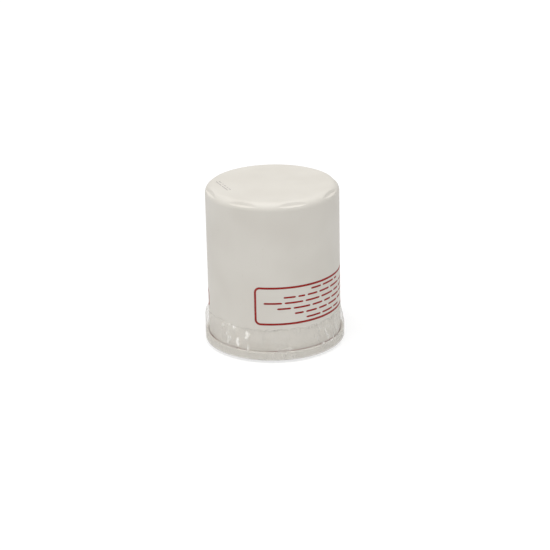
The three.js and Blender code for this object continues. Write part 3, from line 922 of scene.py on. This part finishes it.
def relief_cage():
    low, high = box_mm("relief_cage")
    half = CAGE_SHEET / 2
    wall = CAGE - half
    line = rounded([
        (CAGE_GUIDE, low[2] + half), (wall, low[2] + half, 1.2),
        (wall, high[2] - half, 0.9), (high[0], high[2] - half),
    ])
    shape = revolved(dense(sheet_outline(line, CAGE_SHEET), 1.5), steps=ROUND_TUBE)
    piece = mesh_object("relief_basket", *shape, zinc_sheet("relief_cage_zinc"))
    side = CAGE_WINDOW / 2
    foot, head = low[2] + CAGE_WINDOW_FOOT, high[2] - CAGE_WINDOW_HEAD
    window = rounded([(-side, foot, 1), (side, foot, 1), (side, head, 1), (-side, head, 1)])
    reach = (-1.5 * CAGE, 1.5 * CAGE)
    carve(piece, [prism(window, reach, lambda p, level: (p[0], level, p[1]))])
    carve(piece, [prism(window, reach, lambda p, level: (level, p[0], p[1]))])
    return place(piece, "zinc_sheet", "relief_cage")


# ---- springs ----

def coil(node, wire, turns, end_turns, low_radius, high_radius, sides=14):
    """Coil of round wire as tall as its CAD node's box, with end_turns lying flat at each end."""
    low, high = box_mm(node)
    foot, head = low[2] + wire / 2, high[2] - wire / 2
    line = []
    for step in range(round(turns * COIL_STEPS) + 1):
        turn = step / COIL_STEPS
        share = turn / turns
        climb = clamped((turn - end_turns) / (turns - 2 * end_turns))
        eased = climb + COIL_EASE * math.sin(2 * math.pi * climb) / (2 * math.pi)
        radius = low_radius + (high_radius - low_radius) * share
        angle = 2 * math.pi * turn
        line.append((radius * math.cos(angle), radius * math.sin(angle), foot + (head - foot) * eased))
    return round_wire(line, wire / 2, sides)


def relief_spring(material):
    shape = coil("relief_spring", RELIEF_WIRE, RELIEF_TURNS, RELIEF_END_TURNS, RELIEF_COIL, RELIEF_COIL)
    piece = show("relief_coil", shape, material, "spring_steel", "relief_spring")
    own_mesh(piece)
    return piece


def element_spring(material):
    radii = (ELEMENT_COIL_LOW, ELEMENT_COIL_HIGH)
    shape = coil("element_spring", ELEMENT_WIRE, ELEMENT_TURNS, ELEMENT_END_TURNS, *radii, sides=18)
    return show("element_coil", shape, material, "spring_steel", "element_spring")


# ---- element ----

def lower_end_cap(material):
    low, high = box_mm("lower_end_cap")
    half = CAP_SHEET / 2
    level = low[2] + half
    line = rounded([
        (CAP_NECK - half, low[2] + CAP_NECK_HEIGHT), (CAP_NECK - half, level, 0.8),
        (high[0] - half, level, 1.0), (high[0] - half, high[2]),
    ])
    shape = revolved(dense(sheet_outline(line, CAP_SHEET), 4), steps=ROUND_INSIDE)
    return show("lower_cap_pressing", shape, material, "zinc_sheet", "lower_end_cap")


def upper_end_cap(material):
    low, high = box_mm("upper_end_cap")
    half = CAP_SHEET / 2
    level = high[2] - half
    line = rounded([(RELIEF_PORT, level), (high[0] - half, level, 1.0), (high[0] - half, low[2])])
    shape = revolved(dense(sheet_outline(line, CAP_SHEET), 4), steps=ROUND_INSIDE)
    return show("upper_cap_pressing", shape, material, "zinc_sheet", "upper_end_cap")


def uneven(point, angle):
    """Cured adhesive: its sides wander in by a fraction of a millimetre."""
    radius, height = point
    inward = 1 if radius > (ADHESIVE_INNER + PLEAT_OUTER) / 2 else -1
    wander = 0.25 * abs(noise.noise(Vector(polar(radius, angle, 3 * height)) * 0.35))
    return radius - inward * wander, height


def adhesive_ring(node, name, material):
    outline = ring_outline(node, ADHESIVE_INNER, 0.3, 0.3)
    shape = revolved(dense(outline, 3), steps=ROUND_INSIDE, shape=uneven)
    return show(name, shape, material, "compound", node)


def pleat_line():
    """Middle line of the paper from above: straight walls with rounded folds."""
    walls = 2 * PLEATS
    corners = []
    for wall in range(walls):
        angle = 2 * math.pi * (wall + 0.5) / walls
        folds = [(PLEAT_OUTER, 0.95), (PLEAT_INNER, 0.45)]
        for radius, bend in folds if wall % 2 == 0 else folds[::-1]:
            corners.append((radius * math.cos(angle), radius * math.sin(angle), bend))
    return rounded(corners, steps=4)


def wavy_paper(point, height):
    """Lets the paper wander by a tenth of a millimetre between its glued ends."""
    x, y = point
    drift = noise.noise_vector(Vector((x * 0.3, y * 0.3, height * 0.12))) * 0.1
    return (x + drift.x, y + drift.y, height)


def pleated_media():
    low, high = box_mm("pleated_media")
    line = pleat_line()
    heights = [low[2] + (high[2] - low[2]) * layer / 10 for layer in range(11)]
    outside = offset(line, -PAPER / 2, closed=True)
    inside = offset(line, PAPER / 2, closed=True)
    shape = sheet_solid(outside, inside, heights, wavy_paper, closed=True)
    return show("pleated_paper", shape, filter_paper(), "filter_paper", "pleated_media", sharp=50)


def media_seam_clip(material):
    low, high = box_mm("media_seam_clip")
    half = (high[1] - low[1] - CLIP_SHEET) / 2
    back = high[0] - CLIP_SHEET / 2
    line = rounded([(low[0], -half), (back, -half, 0.6), (back, half, 0.6), (low[0], half)])
    left = offset(line, CLIP_SHEET / 2)
    right = offset(line, -CLIP_SHEET / 2)
    shape = sheet_solid(left, right, (low[2], high[2]), upright, closed=False)
    return show("pleat_clip", shape, material, "zinc_sheet", "media_seam_clip")


def tube_drill(row, pair, height):
    """Round cutter through both walls of the centre tube."""
    turn = math.pi * (pair + row % 2 / 2) / TUBE_HOLE_PAIRS
    along = Vector((-math.sin(turn), math.cos(turn), 0)) * 1.5 * TUBE
    middle = Vector((0, 0, height))
    return round_wire([middle - along, middle, middle + along], TUBE_HOLE, 24)


def centre_tube(material):
    low, high = box_mm("centre_tube")
    outline = [(TUBE - TUBE_SHEET, low[2]), (TUBE, low[2]), (TUBE, high[2]), (TUBE - TUBE_SHEET, high[2])]
    piece = mesh_object("perforated_tube", *revolved(dense(outline, 4), steps=ROUND_TUBE), material)
    spacing = (high[2] - low[2]) / (TUBE_HOLE_ROWS + 1)
    for row in range(1, TUBE_HOLE_ROWS + 1):
        for pair in range(TUBE_HOLE_PAIRS):
            carve(piece, [tube_drill(row, pair, low[2] + row * spacing)])
    return place(piece, "zinc_sheet", "centre_tube")


# ---- printed marks ----

INK_PROUD = 0.03  # of the ink over the wall
INK_ROOT = 0.02  # how far its underside is sunk
PANEL_LINE = 1.05
PANEL_CORNER = 2.3
ROW_HEIGHT = 0.9
ROW_STEP = 2.85
BAR_GAP = 1.3
# Each panel's start and width are angles round the wall, and its rows are shares of its width.
FRONT_PANEL = {
    "start": -16.4, "width": 134.0, "low": 19.6, "high": 38.2,
    "rows": (0.36, 0.53, 0.77, 0.95, 0.68, 0.28),
}
BACK_PANEL = {"start": 160.0, "width": 121.0, "low": 19.6, "high": 27.0, "rows": (0.9, 0.66)}


def wall_point(along, height, proud):
    """Point on the wall; along is a length round it from the front."""
    return polar(WALL + proud, along / WALL, height)


def ribbon(left, right, closed):
    """Thin body of ink between two lines of (along, height) points."""
    return sheet_solid(left, right, (INK_PROUD, -INK_ROOT), lambda p, proud: wall_point(*p, proud), closed)


def panel_frame(panel):
    """The rounded outline of one panel."""
    left = math.radians(panel["start"]) * WALL
    right = left + math.radians(panel["width"]) * WALL
    low, high = panel["low"], panel["high"]
    line = rounded([
        ((left + right) / 2, low), (right, low, PANEL_CORNER), (right, high, PANEL_CORNER),
        (left, high, PANEL_CORNER), (left, low, PANEL_CORNER),
    ])
    line = dense(line, 0.8)
    return ribbon(offset(line, PANEL_LINE / 2, True), offset(line, -PANEL_LINE / 2, True), closed=True)


def bar(start, length, height):
    """Round-ended bar that stands for a word."""
    half = ROW_HEIGHT / 2
    steps = max(4, math.ceil(length / 0.5))
    left, right = [], []
    for step in range(steps + 1):
        along = length * step / steps
        inset = max(0.0, half - min(along, length - along))
        reach = math.sqrt(max(half * half - inset * inset, 0.04))
        left.append((start + along, height + reach))
        right.append((start + along, height - reach))
    return ribbon(left, right, closed=False)


def bar_rows(panel, seed):
    """Centred rows of bars in place of printed words."""
    draw = random.Random(seed)
    width = math.radians(panel["width"]) * WALL - 2 * PANEL_CORNER
    centre = math.radians(panel["start"] + panel["width"] / 2) * WALL
    middle = (panel["low"] + panel["high"]) / 2
    bars = []
    for row, share in enumerate(panel["rows"]):
        height = middle + (row - (len(panel["rows"]) - 1) / 2) * ROW_STEP
        along = centre - width * share / 2
        end = centre + width * share / 2
        while end - along > 1.5 * ROW_HEIGHT:
            length = min(draw.uniform(3.0, 9.5), end - along)
            bars.append(bar(along, length, height))
            along += length + BAR_GAP
    return bars


def printed_panels():
    shapes = []
    for seed, panel in enumerate((FRONT_PANEL, BACK_PANEL)):
        shapes.append(panel_frame(panel))
        shapes += bar_rows(panel, seed)
    return show("printed_panels", joined(shapes), printed_ink(), "printed_ink")


# ---- faint code on the closed end ----

CODE_START = (-25.6, 3.4)  # plain dots in two short rows, in place of a stamped code
CODE_END = (-20.2, -9.4)
CODE_DOTS = 13  # places in each row, some of them left empty
CODE_DOT = 0.36  # radius
CODE_ROW_STEP = 1.5


def crown_height(radius):
    """Height of the closed end's outside at a radius inside the shoulder."""
    share = radius / (WALL - SHOULDER)
    return TOP - CROWN + CROWN * (1 - share * share)


def code_dot(x, y):
    level = crown_height(math.hypot(x, y))
    profile = [(0, level - 0.03), (CODE_DOT, level - 0.03), (CODE_DOT, level + 0.015), (0, level + 0.02)]
    return moved_to(x, y, revolved(profile, steps=12))


def code_marks():
    draw = random.Random(5)
    start = Vector(CODE_START)
    along = (Vector(CODE_END) - start) / (CODE_DOTS - 1)
    across = Vector((along.y, -along.x)).normalized() * CODE_ROW_STEP
    dots = []
    for row in range(2):
        for index in range(CODE_DOTS):
            if draw.random() < 0.8:
                spot = start + along * index + across * row
                dots.append(code_dot(spot.x, spot.y))
    return show("code_dots", joined(dots), code_ink(), "printed_ink")


# ---- shrink film ----

LID_RIM = node_radius("seaming_lid")
FILM_RIM = node_radius("shrink_film") - 0.12
FILM_LOW = node_bottom("shrink_film") + 0.08
FILM_HIGH = node_top("shrink_film") - 0.6
FILM_GRIP = WALL + 0.12
FILM_SHEET = 0.05
FILM_FOLD = 0.55  # depth of the upright folds
FILM_CRINKLE = 1.1
FILM_SLACK = 0.3
FILM_EDGE_WAVE = 1.1  # wander of the upper edge
FILM_EDGE_RIPPLE = 0.6


def around(angle, turns, lift=0.0):
    """Noise that closes on itself round the axis; turns sets how many waves there are."""
    return noise.noise(Vector((math.cos(angle) * turns, math.sin(angle) * turns, lift)))


def film_flare(height, angle):
    """How far the film has opened from the wall (0) to the rim (1); it opens faster on the left."""
    fall = (FILM_HIGH - height) / (FILM_HIGH - LID_TOP - 0.6)
    quickness = 0.62 + 0.28 * math.sin(angle)
    share = clamped(fall / quickness)
    return share * share * (3 - 2 * share)


def film_point(point, angle):
    """Opens the film like a skirt, lets its upper edge wander and gathers it into upright folds."""
    radius, height = point
    fall = clamped((FILM_HIGH - height) / (FILM_HIGH - LID_TOP))
    loose = math.sin(math.pi * fall) + 0.2 * (1 - fall)
    folds = 0.7 * abs(around(angle, 8, height * 0.04)) + 0.4 * abs(around(angle, 21, 9 + height * 0.08))
    patch = max(0.0, around(angle, 2.2, 31.0) + 0.15)
    crinkles = around(angle, 42, height * 0.35) * patch * FILM_CRINKLE
    radius -= (FILM_RIM - FILM_GRIP) * (1 - film_flare(height, angle))
    radius += loose * (crinkles + FILM_SLACK * around(angle, 2, 5.0) - FILM_FOLD * folds)
    if height > FILM_LOW + 0.5:
        radius = max(radius, FILM_GRIP if height > LID_TOP + 0.6 else LID_RIM + 0.1)
    elif radius < WALL:
        radius += 0.35 * around(angle, 12, 7.0)
    edge = FILM_EDGE_WAVE * around(angle, 1.6) + FILM_EDGE_RIPPLE * around(angle, 7, 3.0)
    return min(radius, FILM_RIM + 0.05), height + edge * (1 - fall) ** 2


def shrink_film():
    line = rounded([(FILM_RIM, FILM_HIGH), (FILM_RIM, FILM_LOW, 0.8), (WALL - 0.3, FILM_LOW)])
    outline = sheet_outline(dense(line, 0.4, closed=False), FILM_SHEET)
    shape = revolved(outline, steps=ROUND_FILM, shape=film_point)
    return show("film_skirt", shape, clear_film(), "clear_film", "shrink_film", sharp=60)


# ---- stage ----

def camera():
    """The view the filter is seen from: a little above it and just under a metre away."""
    distance = 0.936
    elevation = math.radians(20.6)
    roll = math.radians(1.23)
    target = Vector((0, 0, 0.040))
    data = bpy.data.cameras.new("camera")
    data.sensor_width = 36
    data.lens = 124.0
    data.shift_x = 0.0026
    data.shift_y = -0.0254
    made = new_object("camera", data)
    position = target + distance * Vector((0, -math.cos(elevation), math.sin(elevation)))
    look = (target - position).to_track_quat("-Z", "Y").to_matrix().to_4x4()
    made.matrix_world = Matrix.Translation(position) @ look @ Matrix.Rotation(-roll, 4, "Z")
    bpy.context.scene.camera = made


def soft_sun():
    """Even light from nearly overhead, a little to the front and left."""
    data = bpy.data.lights.new("overhead", "SUN")
    data.energy = 2.86
    data.angle = math.radians(50)
    made = new_object("overhead", data)
    elevation = math.radians(81)
    towards = Vector(polar(math.cos(elevation), math.radians(-30), math.sin(elevation)))
    made.rotation_euler = towards.to_track_quat("Z", "Y").to_euler()


def area_light(name, position, aim, size, power):
    data = bpy.data.lights.new(name, "AREA")
    data.shape = "RECTANGLE"
    data.size, data.size_y = size
    data.energy = power
    made = new_object(name, data)
    made.location = position
    made.rotation_euler = (Vector(aim) - Vector(position)).to_track_quat("-Z", "Y").to_euler()


def lights():
    soft_sun()
    aim = (0, 0, 0.07)
    area_light("box_left", (-0.72, -0.29, 0.98), aim, (0.3, 0.3), 0.35)
    area_light("box_right", (0.50, -0.45, 1.02), aim, (0.3, 0.3), 0.45)
    world = bpy.data.worlds.new("studio")
    bpy.context.scene.world = world
    world.use_nodes = True
    background = world.node_tree.nodes["Background"]
    background.inputs["Color"].default_value = (1.0, 1.0, 1.0, 1)
    background.inputs["Strength"].default_value = 0.2


def floor():
    """Large white floor just under the gasket's face, bright enough that hardly a shadow shows."""
    reach = 4.0
    level = -0.05 * MM
    mesh = bpy.data.meshes.new("floor")
    corners = [(x * reach, y * reach, level) for x, y in ((-1, -1), (1, -1), (1, 1), (-1, 1))]
    mesh.from_pydata(corners, [], [(0, 1, 2, 3)])
    shining = {"Emission_Color": (1, 1, 1, 1), "Emission_Strength": 0.7}
    material, tree, shader = new_material("floor_white", 0.9, **shining)
    colour = ramp(tree, noise_value(tree, 3, 2), (0.3, grey(0.31)), (0.7, grey(0.33)))
    set_colour(tree, shader, colour)
    mesh.materials.append(material)
    new_object("floor", mesh)


bpy.context.scene.view_settings.view_transform = "Standard"
camera()
lights()
floor()
canister()
seaming_lid()
sealing_gasket()
tapping_plate()
anti_drain_valve()
relief_plunger()
relief_seal()
relief_cage()

wire_finish = spring_steel()
relief_spring(wire_finish)
element_spring(wire_finish)

sheet_finish = zinc_sheet()
lower_end_cap(sheet_finish)
upper_end_cap(sheet_finish)
media_seam_clip(sheet_finish)
centre_tube(sheet_finish)
pleated_media()

compound_finish = compound()
adhesive_ring("lower_adhesive", "lower_adhesive_bead", compound_finish)
adhesive_ring("upper_adhesive", "upper_adhesive_bead", compound_finish)
seam_compound(compound_finish)

printed_panels()
code_marks()
shrink_film()
